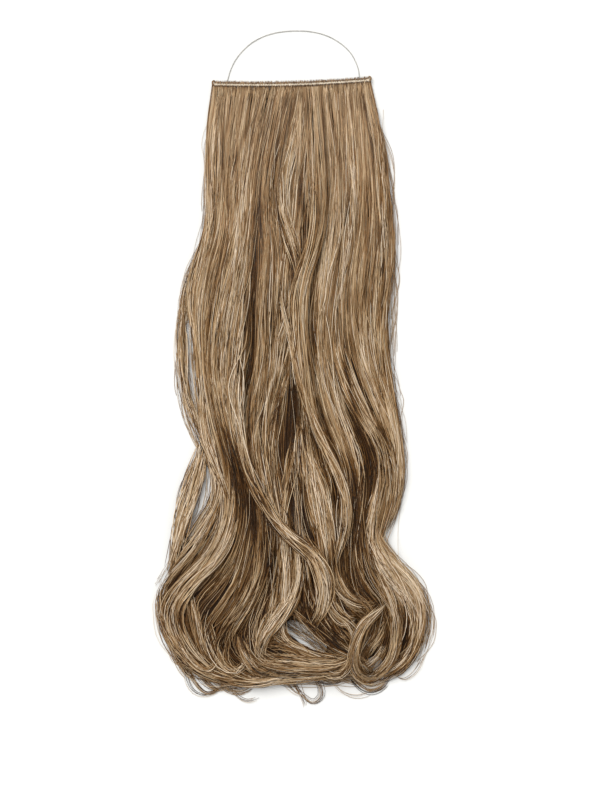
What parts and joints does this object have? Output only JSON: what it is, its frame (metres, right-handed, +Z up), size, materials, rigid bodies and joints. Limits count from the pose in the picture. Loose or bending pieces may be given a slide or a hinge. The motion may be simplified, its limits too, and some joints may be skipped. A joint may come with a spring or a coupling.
{
  "type": "halo hair extension",
  "caption": "Halo hair extension laid flat: long waved hair on a weft folded into two sewn rows, with a clear wire loop that goes round the head.",
  "frame": {"origin": "the middle of the footprint on the surface that the hair lies on, measured without the wire", "axes": "+Y from the hair's ends towards the sewn head and the wire, +X along the seam to the right, +Z up from the surface"},
  "size_m": [0.2435, 0.5913, 0.0269],
  "materials": {
    "taupe_seam": "machine-sewn hair head, matte",
    "cream_seam": "machine-sewn head in cream thread, matte",
    "ash_blonde_hair": "waved hair, brown with ash blonde lights, satin",
    "clear_nylon": "clear drawn nylon, glossy"
  },
  "bodies": {
    "root": {"weft_track_back": "taupe_seam", "weft_track_front": "cream_seam", "hair": "ash_blonde_hair", "halo_wire": "clear_nylon"}
  },
  "joints": []
}
